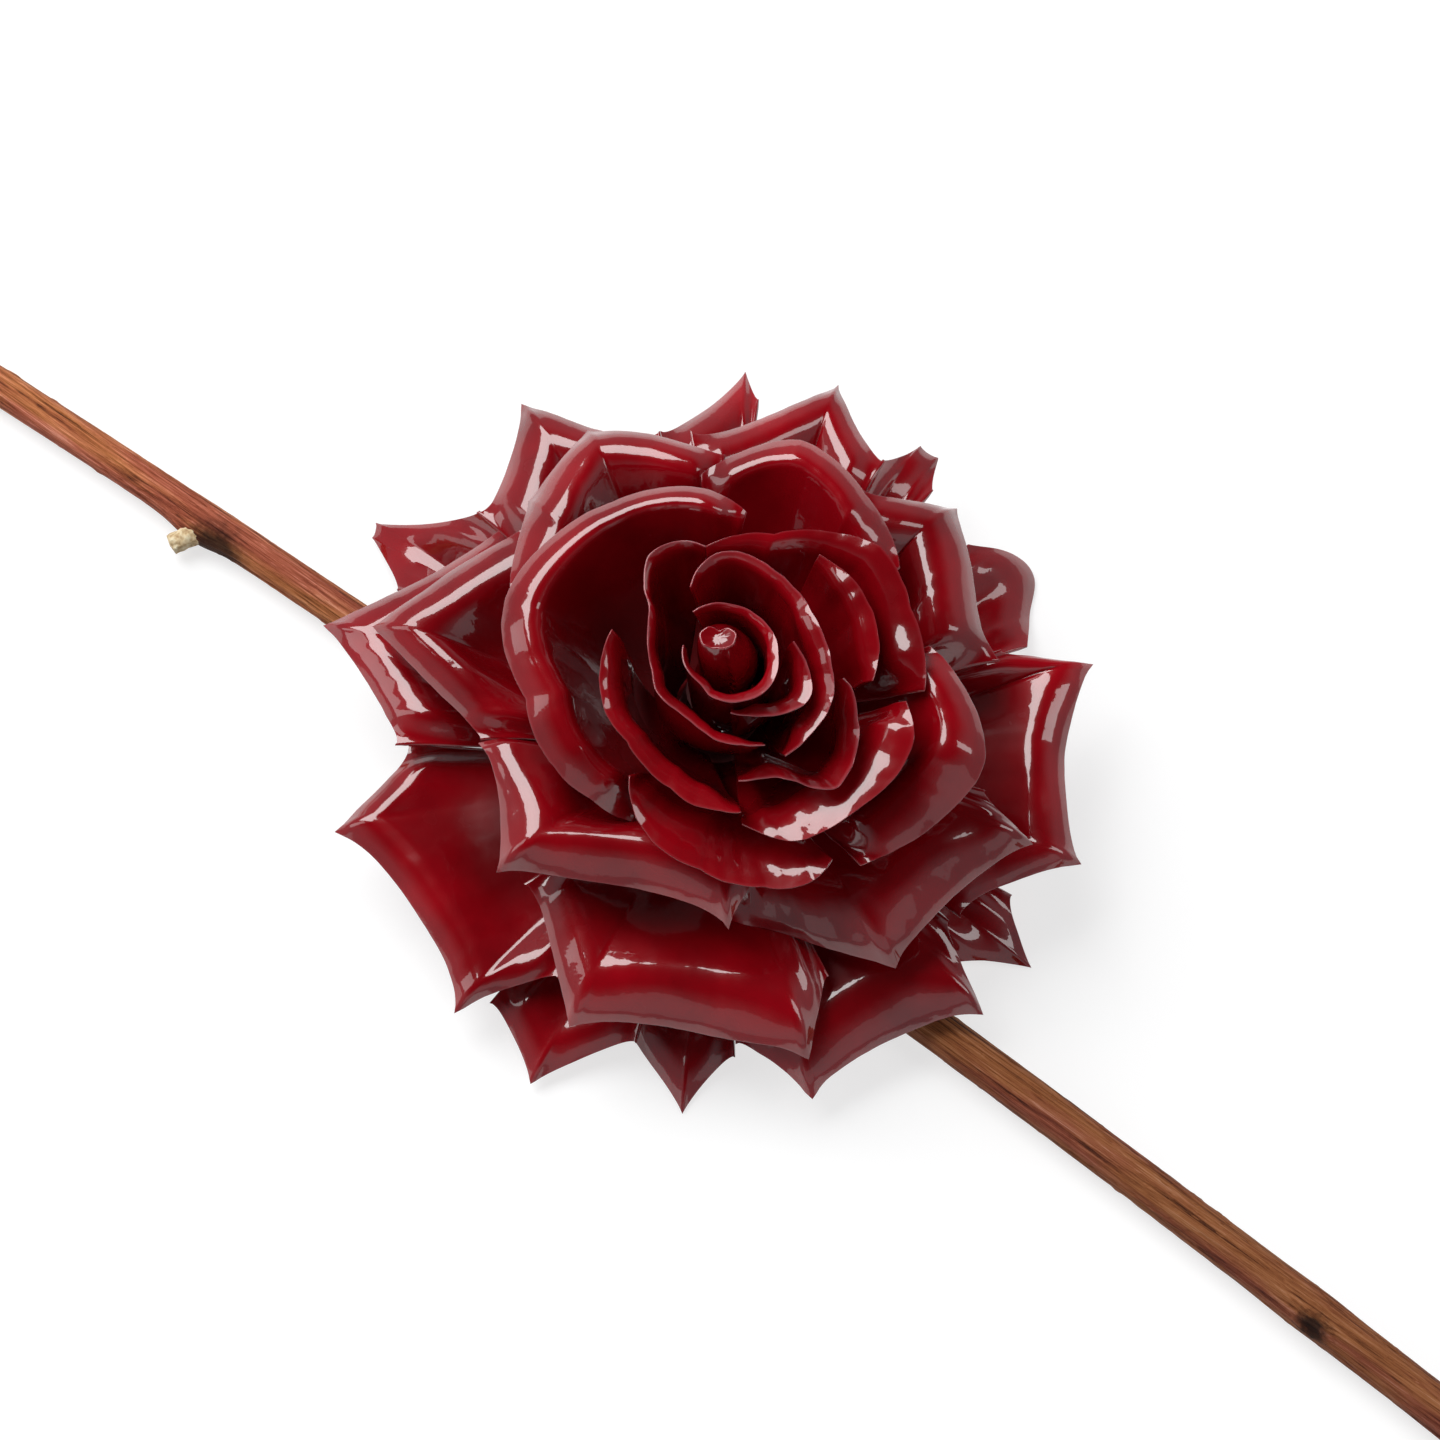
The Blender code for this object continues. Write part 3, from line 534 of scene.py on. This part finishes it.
def wax_material(name, seed, edge_pale_and_highlight):
    """Deep red paper under clear wax: mottled red, paler thin edge laid on as a painted highlight on the
    inner rims and the bud's crest, painted shade darkening the red towards the foot, small ripples in the
    wax.
    """
    m = Finish(name)
    place = m.mapped(m.place.outputs["Object"], in_Location=(seed * 0.37, seed * 0.11, seed * 0.23))
    red = m.ramp(m.noise(place, 70.0, 4.0), WAX_REDS)
    from_edge = m.separate(m.place.outputs["UV"], "Y")
    mix = m.add("ShaderNodeMix", data_type="RGBA")
    # paler thin edge, and a painted highlight where its share is high (inner rims, bud's crest)
    m.link(m.remap(from_edge, *WAX_EDGE_REACH, edge_pale_and_highlight, 0.0), mix.inputs["Factor"])
    # painted shade: the red darkens with distance from the edge, towards the foot deep in the bloom
    m.link(m.scaled(red, m.remap(from_edge, *PAINTED_FOOT_SHADE_REACH, 1.0, PAINTED_FOOT_SHADE)), mix.inputs["A"])
    mix.inputs["B"].default_value = EDGE_PALE_AND_HIGHLIGHT_COLOUR
    m.link(mix.outputs["Result"], m.shader.inputs["Base Color"])
    m.link(m.remap(m.noise(place, 160.0, 3.0), 0.0, 1.0, 0.16, 0.34), m.shader.inputs["Roughness"])
    m.bump(m.noise(place, 170.0, 4.0), 0.3, 0.3 * MM, ("Normal", "Coat Normal"))
    m.set(IOR=1.46, Specular_IOR_Level=0.2, Coat_Weight=1.0, Coat_Roughness=0.035, Coat_IOR=1.6)
    return m.material


# bark: fibres golden where it is worn and red-brown elsewhere, paler at the thin end than at the thick end
GOLDEN_FIBRES = [(0.37, (0.06, 0.015, 0.005)), (0.46, (0.38, 0.12, 0.038)),
                 (0.56, (0.6, 0.23, 0.09)), (0.68, (0.88, 0.48, 0.28))]
RED_FIBRES = [(0.37, (0.035, 0.007, 0.004)), (0.46, (0.27, 0.06, 0.029)),
              (0.56, (0.48, 0.135, 0.075)), (0.68, (0.8, 0.37, 0.26))]
BARK_SHADE_REACH = 90 * MM
BARK_SHADES = (1.13, 0.62)
FRAYED_BY = 3 * MM

# dark patches at the eye and the stub: place along the twig, aside and above its centre, reach (mm)
EYE_PLACE = 109.8 * MM
DARK_PATCHES = ((EYE_PLACE, -2.1, 2.1, 2.6), (STUB_PLACE + 2.9 * MM, -2.6, 0.8, 4.6))
DARK_PATCH_STRETCH = (0.7, 1, 1)
DARK_PATCH_SHADE = 0.12
DARK_PATCH_CORE = 0.3


def bark_material():
    """Fibrous bark: red-brown, golden where it is worn, darker towards the thick end and at stub and eye."""
    m = Finish("bark")
    place = m.place.outputs["Object"]
    fibre = m.noise(m.mapped(place, in_Scale=(45, 1700, 1700)), 1.0, 9.0, in_Roughness=0.8)
    patch = m.noise(m.mapped(place, in_Scale=(35, 260, 260)), 1.0, 3.0)
    mix = m.add("ShaderNodeMix", data_type="RGBA")
    m.link(m.remap(patch, 0.42, 0.6, 0.0, 1.0), mix.inputs["Factor"])
    m.link(m.ramp(fibre, GOLDEN_FIBRES), mix.inputs["A"])
    m.link(m.ramp(fibre, RED_FIBRES), mix.inputs["B"])
    level = m.remap(m.separate(place, "X"), AXIS[0] - BARK_SHADE_REACH, AXIS[0] + BARK_SHADE_REACH,
                    *BARK_SHADES)
    frayed = m.add("ShaderNodeVectorMath", operation="MULTIPLY_ADD")
    m.link(m.noise(place, 900.0, 4.0, output="Color"), frayed.inputs[0])
    frayed.inputs[1].default_value = (FRAYED_BY, FRAYED_BY, FRAYED_BY)
    m.link(place, frayed.inputs[2])
    for along, aside, above, reach in DARK_PATCHES:
        centre = AXIS + twig_centre(along) + np.array([0, aside * MM, above * MM]) + 0.5 * FRAYED_BY
        stretched = m.add("ShaderNodeVectorMath", operation="MULTIPLY")
        m.link(frayed.outputs["Vector"], stretched.inputs[0])
        stretched.inputs[1].default_value = DARK_PATCH_STRETCH
        gap = m.add("ShaderNodeVectorMath", operation="DISTANCE")
        m.link(stretched.outputs["Vector"], gap.inputs[0])
        gap.inputs[1].default_value = centre * np.array(DARK_PATCH_STRETCH)
        dark = m.remap(gap.outputs["Value"], DARK_PATCH_CORE * reach * MM, reach * MM, DARK_PATCH_SHADE, 1.0,
                       "SMOOTHSTEP")
        level = m.math("MULTIPLY", level, dark)
    m.link(m.scaled(mix.outputs["Result"], level), m.shader.inputs["Base Color"])
    m.bump(fibre, 0.9, 0.35 * MM)
    m.set(Roughness=0.6, Specular_IOR_Level=0.15)
    return m.material


def stub_material():
    """Pale dry wood of the cut stub."""
    m = Finish("stub wood")
    grain = m.noise(m.place.outputs["Object"], 1500.0, 5.0)
    wood = m.ramp(grain, [(0.3, (0.42, 0.26, 0.12)), (0.5, (0.68, 0.52, 0.3)), (0.7, (0.85, 0.75, 0.52))])
    m.link(wood, m.shader.inputs["Base Color"])
    m.bump(grain, 0.8, 0.3 * MM)
    m.set(Roughness=0.75)
    return m.material


def mottled(name, colour, roughness, scale):
    """Mottled finish for the small hidden pieces."""
    m = Finish(name)
    spots = m.noise(m.place.outputs["Object"], scale, 5.0)
    dark = tuple(c * 0.55 for c in colour)
    m.link(m.ramp(spots, [(0.3, dark), (0.7, colour)]), m.shader.inputs["Base Color"])
    m.bump(spots, 0.5, 0.2 * MM)
    m.set(Roughness=roughness)
    return m.material


UV_WIDTH = 40
INNERMOST = ("inner", "heart")


def build_petals():
    for number, name in enumerate(PETALS):
        grid, away, thickness = petal_sheet(name, number)
        across = np.linspace(0, 1, grid.shape[1])[None, :].repeat(grid.shape[0], 0)
        uv = np.stack([across.ravel() * UV_WIDTH, away.ravel() / MM], 1)
        piece = solid("wax_" + name, grid, thickness[..., None], uv)
        # the inner petals' edges get more of the edge colour, as a painted highlight on their thin rims
        edge_pale_and_highlight = INNER_EDGE_PALE_AND_HIGHLIGHT if name.startswith(INNERMOST) else PALE_EDGE
        piece.data.materials.append(wax_material("wax " + name, number, edge_pale_and_highlight))
        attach(piece, "root")
        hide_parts("petal_" + name)


# the bud: fineness, its seam, and its tip with a hollow
HEART_ROWS = 90
HEART_COLUMNS = 96
HOLLOW_ROWS = 12
HOLLOW_DEPTH = 0.4 * MM
HOLLOW_SHARE = 0.85
SEAM_STEP = 0.4 * MM
TIP_SHARE = 0.2
PLEAT = 0.05 * MM
HEART_SEED = 50


def heart_radius(share):
    """Radius of the bud at a share of its height: full in the middle, narrow at the tip."""
    if share < 0.5:
        return HEART_FOOT_RADIUS + (HEART_RADIUS - HEART_FOOT_RADIUS) * math.sin(math.pi * share)
    return HEART_RADIUS - (HEART_RADIUS - HEART_TIP_RADIUS) * (2 * share - 1) ** 2


def build_heart():
    """Closed bud: smooth, with one spiral seam and a small heart-shaped curl with a hollow at its tip."""
    base = CORE_TOP_HEIGHT + JOIN_GAP
    rise = HEART_TIP_HEIGHT - base
    points = []
    for i in range(HEART_ROWS + HOLLOW_ROWS + 1):
        share = min(i / HEART_ROWS, 1.0)
        inward = max(0, i - HEART_ROWS) / HOLLOW_ROWS
        lean = HEART_LEAN * math.sin(math.pi * share) ** 2
        top = max(0.0, (share - 1 + TIP_SHARE) / TIP_SHARE)
        curl = top * top
        size = heart_radius(share) * (1 - HOLLOW_SHARE * inward)
        for j in range(HEART_COLUMNS):
            turn = 2 * math.pi * j / HEART_COLUMNS
            seam = (turn - 0.9 * share + 1.3) % (2 * math.pi)
            step = SEAM_STEP * math.exp(-seam * 3.0) * min(1, 5 * (1 - share) + 0.3)
            notch = 0.3 * math.exp(-8 * (1 - math.cos(turn - 2.1)))
            lobes = 1 + curl * (0.24 * math.cos(2 * (turn - 0.5)) - notch)
            pleat = PLEAT * top * math.sin(9 * turn + 20 * share)
            radius = (size + step + pleat) * lobes
            flat = radius * np.array([math.cos(turn), math.sin(turn), 0.0])
            height = base + rise * share - HOLLOW_DEPTH * math.sin(0.5 * math.pi * inward)
            height += 0.25 * MM * curl * math.sin(2 * turn + 0.8) * (1 - inward)
            height += curl * (0.2 * flat @ RIGHT - 0.04 * flat @ AWAY)
            height += 0.07 * MM * curl * noise.noise(Vector(flat * 900))
            points.append((flat[0] + lean * math.cos(HEART_LEAN_AZIMUTH),
                           flat[1] + lean * math.sin(HEART_LEAN_AZIMUTH), height))
    rings = HEART_ROWS + HOLLOW_ROWS + 1
    foot = (0.0, 0.0, base)
    bottom = (0.0, 0.0, base + rise - HOLLOW_DEPTH)
    faces = closed_tube(points, rings, HEART_COLUMNS, foot, bottom)
    # the whole bud counts as far from an edge, but for the crest around its hollow, which the edge colour
    # paints with a highlight
    uv = np.full((len(points), 2), 9.0)
    uv[HEART_ROWS * HEART_COLUMNS:(HEART_ROWS + 2) * HEART_COLUMNS, 1] = 0.1
    piece = mesh_piece("wax_heart", np.array(points) + AXIS, faces, uv)
    piece.data.materials.append(wax_material("wax heart", HEART_SEED, BUD_CREST_PAINTED_HIGHLIGHT))
    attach(piece, "root")
    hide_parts("heart")


# the twig: fineness, and its knot, eye, collar and stub as they look
TWIG_ROWS = 560
TWIG_COLUMNS = 84
END_CHAMFER = 1.0 * MM
KNOT_SWELL = 0.2 * MM
EYE_TURN = 0.25 * math.pi
EYE_LENGTH = 2.2 * MM
EYE_WIDTH = 0.45
EYE_RIM = 0.25 * MM
EYE_DEPTH = 0.35 * MM
COLLAR_HEIGHT = 0.9 * MM
COLLAR_PLACE = STUB_PLACE - 1 * MM
COLLAR_LENGTH = 4.5 * MM
STUB_ROWS = 26
STUB_COLUMNS = 40
STUB_START = 0.25
STUB_REACH = 6.2 * MM
STUB_ANGLE = math.radians(66)
STUB_ROUGHNESS = 0.22 * MM
STUB_CROWN = 0.25 * MM


def knot_swell(x):
    """How much the knot thickens the twig."""
    return KNOT_SWELL * math.exp(-((x - KNOT_PLACE) / KNOT_LENGTH) ** 2)


def twig_radius(x):
    """Radius of the twig, thicker towards its base."""
    share = (x - TWIG_THIN_END) / (TWIG_THICK_END - TWIG_THIN_END)
    return TWIG_THIN_RADIUS + (TWIG_THICK_RADIUS - TWIG_THIN_RADIUS) * share


def twig_centre(x):
    """Centre line of the twig: bowed sideways, and lifted a little between its ends."""
    half = 0.5 * (TWIG_THICK_END - TWIG_THIN_END)
    s = (x - 0.5 * (TWIG_THICK_END + TWIG_THIN_END)) / half
    return np.array([x, -TWIG_OFFSET - TWIG_BOW * s * s, twig_radius(x) + TWIG_LIFT * (1 - s * s)])


def bark_relief(x, turn):
    """Depth of the bark: long fibres that wander, a few deep cracks, lumps and nicks across."""
    drift = turn + 1.2 * noise.noise(Vector((x * 14, 3.1, 0.0)))
    ring = Vector((math.cos(drift), math.sin(drift), 0.0))
    fibres = noise.noise(Vector((ring.x * 9 + 5, ring.y * 9, x * 60)))
    fine = noise.noise(Vector((ring.x * 24, ring.y * 24 + 9, x * 190)))
    crack = abs(noise.noise(Vector((ring.x * 4 + 30, ring.y * 4, x * 22))))
    lump = noise.noise(Vector((ring.x * 0.9, ring.y * 0.9, x * 75 + 11)))
    nick = noise.noise(Vector((ring.x * 5 + 70, ring.y * 5, x * 520)))
    depth = 0.07 * fibres + 0.05 * fine - 0.2 * math.exp(-(crack / 0.03) ** 2) + 0.05 * lump
    return (depth + 0.35 * max(0.0, nick - 0.42)) * MM


def ring_surface(path, radii, cols, relief):
    """Swept tube as a list of points, its rings square to the path."""
    path = np.array(path)
    tangent = np.gradient(path, axis=0)
    tangent /= np.linalg.norm(tangent, axis=1, keepdims=True)
    side = np.cross(tangent, [0.0, 0.0, 1.0])
    side /= np.linalg.norm(side, axis=1, keepdims=True)
    other = np.cross(side, tangent)
    points = []
    for k in range(len(path)):
        for j in range(cols):
            turn = 2 * math.pi * j / cols
            size = radii[k] + relief(k, turn)
            points.append(path[k] + size * (side[k] * math.cos(turn) + other[k] * math.sin(turn)))
    return points


def closed_tube(points, rings, cols, foot, tip):
    """Faces of a tube of rings; adds a centre point at each end to its points."""
    faces = []
    for i in range(rings - 1):
        for j in range(cols):
            k = (j + 1) % cols
            faces.append((i * cols + j, i * cols + k, (i + 1) * cols + k, (i + 1) * cols + j))
    points += [foot, tip]
    last = (rings - 1) * cols
    for j in range(cols):
        k = (j + 1) % cols
        faces.append((rings * cols, k, j))
        faces.append((last + j, last + k, rings * cols + 1))
    return faces


def build_twig():
    """Twig with fibrous bark, a dark eye on its knot, a cut stub with a bark collar and square cut ends."""
    stations = np.linspace(TWIG_THIN_END, TWIG_THICK_END, TWIG_ROWS)
    path = [twig_centre(x) for x in stations]
    radii = [twig_radius(x) + knot_swell(x) for x in stations]

    def relief(k, turn):
        x = stations[k]
        along = (x - COLLAR_PLACE) / COLLAR_LENGTH
        depth = bark_relief(x, turn) + COLLAR_HEIGHT * math.exp(-along ** 2 + 2.2 * (math.cos(turn) - 1))
        away = ((x - EYE_PLACE) / EYE_LENGTH) ** 2 + (2 * math.sin(0.5 * (turn - EYE_TURN)) / EYE_WIDTH) ** 2
        depth += EYE_RIM * math.exp(-(math.sqrt(away) - 1) ** 2 * 6) - EYE_DEPTH * math.exp(-away * 2)
        to_end = min(x - TWIG_THIN_END, TWIG_THICK_END - x)
        return depth * min(1.0, to_end / END_CHAMFER + 0.1)

    points = ring_surface(path, radii, TWIG_COLUMNS, relief)
    faces = closed_tube(points, TWIG_ROWS, TWIG_COLUMNS, path[0], path[-1])
    root = twig_centre(STUB_PLACE)
    lean = np.array([-math.cos(STUB_ANGLE), -math.sin(STUB_ANGLE), 0.0])
    steps = np.linspace(STUB_START, 1.0, STUB_ROWS)
    line = [root + lean * STUB_REACH * s for s in steps]
    width = [STUB_CUT_RADIUS + (STUB_ROOT_RADIUS - STUB_CUT_RADIUS) * (1 - s) ** 1.3 for s in steps]

    def ragged(k, turn):
        rough = noise.noise(Vector((math.cos(turn) * 3, math.sin(turn) * 3, steps[k] * 5)))
        return rough * STUB_ROUGHNESS * (0.4 + steps[k])

    stub = ring_surface(line, width, STUB_COLUMNS, ragged)
    stub_faces = closed_tube(stub, STUB_ROWS, STUB_COLUMNS, line[0], line[-1] + lean * STUB_CROWN)
    first = len(points)
    bark_faces = len(faces)
    faces += [tuple(first + p for p in face) for face in stub_faces]
    piece = mesh_piece("bark_twig", np.array(points + stub) + AXIS, faces)
    piece.data.materials.append(bark_material())
    piece.data.materials.append(stub_material())
    for face in piece.data.polygons[bark_faces:]:
        face.material_index = 1
    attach(piece, "root")
    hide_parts("twig")


def dress_kept_nodes():
    kept = {"core": mottled("core paper", (0.10, 0.003, 0.005), 0.7, 500.0),
            "wire": mottled("green wire", (0.03, 0.10, 0.04), 0.4, 700.0),
            "tape": mottled("floral tape", (0.13, 0.06, 0.03), 0.85, 900.0)}
    for node, material in kept.items():
        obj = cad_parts[node]
        obj.data.materials.clear()
        obj.data.materials.append(material)


def spot(right, away, up):
    """Point given from the bloom's foot in the camera's sense: to its right, away from it and up."""
    return AXIS + RIGHT * right + AWAY * away + np.array([0, 0, up])


def put(name, data, place, aim):
    """Object in the scene at a place, turned towards its aim."""
    obj = bpy.data.objects.new(name, data)
    obj.location = place
    obj.rotation_euler = Vector(aim - place).to_track_quat("-Z", "Y").to_euler()
    bpy.context.scene.collection.objects.link(obj)
    return obj


def build_camera():
    camera = bpy.data.cameras.new("camera")
    camera.lens = LENS
    target = spot(*AIM)
    place = target + DISTANCE * (-AWAY * math.cos(ELEVATION) + np.array([0, 0, math.sin(ELEVATION)]))
    bpy.context.scene.camera = put("camera", camera, place, target)


# lamps: place and aim from the bloom's foot in the camera's sense (m), width and height (m), power (W)
LAMPS = {
    "key": ((-0.42, 0.44, 0.93), (0, 0, 0.03), (0.75, 0.75), 12.5),
    "fill": ((0.8, -0.1, 0.75), (0, 0, 0.03), (0.3, 0.6), 2),
    "left": ((-0.95, 0.0, 0.6), (0, 0, 0.03), (0.35, 0.8), 1.8),
    "front": ((0.1, -1.0, 0.4), (0, 0, 0.02), (1.5, 0.5), 0.7),
}


def build_lamps():
    for name, (place, aim, size, power) in LAMPS.items():
        light = bpy.data.lights.new(name, "AREA")
        light.shape = "RECTANGLE"
        light.size, light.size_y = size
        light.energy = power
        put(name, light, spot(*place), spot(*aim))


# floor: white to the rays that show the background, with a pale shadow, and grey paper to all others
FLOOR_HALF = 3.0
FLOOR_GAP = 0.1 * MM
FLOOR_GREY = (0.5, 0.5, 0.5, 1)
SHOWN_PAPER = (0.36, 0.36, 0.36, 1)
SHOWN_GLOW = (0.69, 0.69, 0.69, 1)


def build_floor():
    mesh = bpy.data.meshes.new("floor")
    half = FLOOR_HALF
    corners = [(-half, -half, 0), (half, -half, 0), (half, half, 0), (-half, half, 0)]
    mesh.from_pydata(corners, [], [(0, 1, 2, 3)])
    floor = bpy.data.objects.new("floor", mesh)
    bpy.context.scene.collection.objects.link(floor)
    floor.location.z = cad_box[0][2] - FLOOR_GAP
    m = Finish("floor paper")
    m.set(Base_Color=FLOOR_GREY, Roughness=0.9, Specular_IOR_Level=0.1)
    both = m.add("ShaderNodeAddShader")
    m.link(m.add("ShaderNodeBsdfDiffuse", in_Color=SHOWN_PAPER).outputs["BSDF"], both.inputs[0])
    m.link(m.add("ShaderNodeEmission", in_Color=SHOWN_GLOW).outputs["Emission"], both.inputs[1])
    seen = m.shown_rays(m.add("ShaderNodeLightPath"))
    surface = m.mix_shaders(seen, m.shader.outputs["BSDF"], both.outputs["Shader"])
    m.link(surface, m.tree.nodes["Material Output"].inputs["Surface"])
    mesh.materials.append(m.material)


# world: white to the camera; walls that glow softly, a little more in the wax's mirror images, and a nearly
# dark ceiling from this height (sine of the elevation) on
WORLD_TINT = (0.92, 0.94, 1.0, 1)
WORLD_WHITE = (1, 1, 1, 1)
WALL_GLOW = 0.3
WALL_SHOWN = 0.33
WALL_TOP = (0.35, 0.85)
CEILING_GLOW = 0.015


def build_world():
    world = bpy.data.worlds.new("studio")
    world.use_nodes = True
    bpy.context.scene.world = world
    m = Nodes(world.node_tree)
    rays = m.add("ShaderNodeLightPath")
    up = m.separate(m.add("ShaderNodeTexCoord").outputs["Generated"], "Z")
    walls = m.add("ShaderNodeMapRange", interpolation_type="SMOOTHSTEP", in_From_Min=WALL_TOP[0],
                  in_From_Max=WALL_TOP[1], in_To_Max=CEILING_GLOW)
    m.link(up, walls.inputs["Value"])
    m.link(m.remap(m.shown_rays(rays), 0.0, 1.0, WALL_GLOW, WALL_SHOWN), walls.inputs["To Min"])
    back = m.tree.nodes["Background"]
    back.inputs["Color"].default_value = WORLD_TINT
    m.link(walls.outputs["Result"], back.inputs["Strength"])
    white = m.add("ShaderNodeBackground", in_Color=WORLD_WHITE)
    surface = m.mix_shaders(rays.outputs["Is Camera Ray"], back.outputs["Background"],
                            white.outputs["Background"])
    m.link(surface, m.tree.nodes["World Output"].inputs["Surface"])


build_petals()
build_heart()
build_twig()
dress_kept_nodes()
build_camera()
build_floor()
build_world()
build_lamps()
scene = bpy.context.scene
scene.view_settings.view_transform = "Standard"
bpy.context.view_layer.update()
